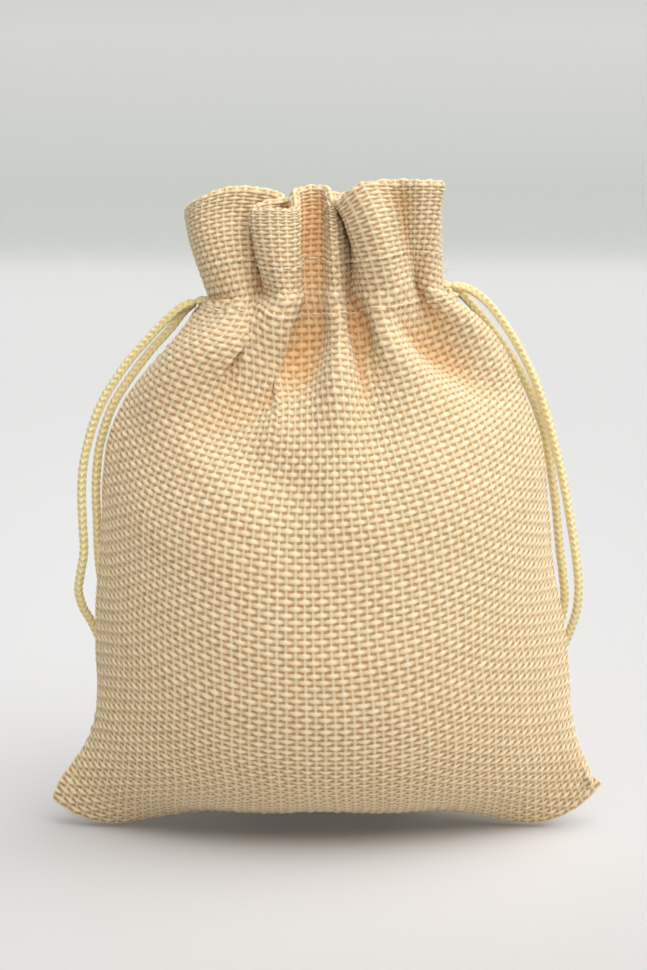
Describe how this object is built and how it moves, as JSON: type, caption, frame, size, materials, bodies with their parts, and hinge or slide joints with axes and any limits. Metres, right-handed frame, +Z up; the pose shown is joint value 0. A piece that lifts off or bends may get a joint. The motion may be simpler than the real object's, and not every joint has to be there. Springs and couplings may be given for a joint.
{
  "type": "drawstring gift pouch",
  "caption": "Small woven cloth pouch, filled and drawn shut at a gathered neck, with a frilled heading and a double drawstring knotted at each side.",
  "frame": {"origin": "middle of the flat underside, on the surface that the pouch stands on", "axes": "+Z up towards the gathered mouth, -Y towards the front panel, +X to the right seen from the front"},
  "size_m": [0.0995, 0.0548, 0.1187],
  "materials": {
    "cloth": "coarse open plain weave in cream yarn",
    "thread": "matt sewing thread",
    "cord": "smooth knitted polyester cord"
  },
  "bodies": {
    "pouch": {"front_panel": "cloth", "back_panel": "cloth", "front_casing": "cloth", "back_casing": "cloth", "front_lower_stitch": "thread", "front_upper_stitch": "thread", "back_lower_stitch": "thread", "back_upper_stitch": "thread", "left_seam_thread": "thread", "right_seam_thread": "thread", "bottom_seam_thread": "thread"},
    "front_heading": {"front_heading": "cloth"},
    "back_heading": {"back_heading": "cloth"},
    "left_cord": {"left_cord_run": "cord"},
    "left_loop": {"left_front_strand": "cord", "left_back_strand": "cord", "left_front_tail": "cord", "left_back_tail": "cord", "left_knot": "cord"},
    "right_cord": {"right_cord_run": "cord"},
    "right_loop": {"right_front_strand": "cord", "right_back_strand": "cord", "right_front_tail": "cord", "right_back_tail": "cord", "right_knot": "cord"}
  },
  "joints": [
    {"name": "left_cord_pull", "type": "slide", "parent": "pouch", "child": "left_cord", "axis": [-1, 0, 0], "range_m": [0, 0.012], "deforming": ["left_cord_run"]},
    {"name": "left_loop_swing", "type": "hinge", "parent": "left_cord", "child": "left_loop", "pos_m": [-0.0226, 0, 0.0974], "axis": [0, 1, 0], "range_deg": [0, 95]},
    {"name": "right_cord_pull", "type": "slide", "parent": "pouch", "child": "right_cord", "axis": [1, 0, 0], "range_m": [0, 0.012], "deforming": ["right_cord_run"]},
    {"name": "right_loop_swing", "type": "hinge", "parent": "right_cord", "child": "right_loop", "pos_m": [0.0226, 0, 0.1002], "axis": [0, -1, 0], "range_deg": [0, 95]},
    {"name": "front_heading_flare", "type": "hinge", "parent": "pouch", "child": "front_heading", "pos_m": [0, -0.0102, 0.1036], "axis": [1, 0, 0], "range_deg": [0, 25], "stiffness_Nm_per_rad": 0.004, "springref_deg": -2.86},
    {"name": "back_heading_flare", "type": "hinge", "parent": "pouch", "child": "back_heading", "pos_m": [0, 0.0102, 0.1036], "axis": [-1, 0, 0], "range_deg": [0, 25], "stiffness_Nm_per_rad": 0.004, "springref_deg": -2.86}
  ],
  "couplings": [
    {"joint": "back_heading_flare", "follows": "front_heading_flare", "ratio": 1}
  ]
}
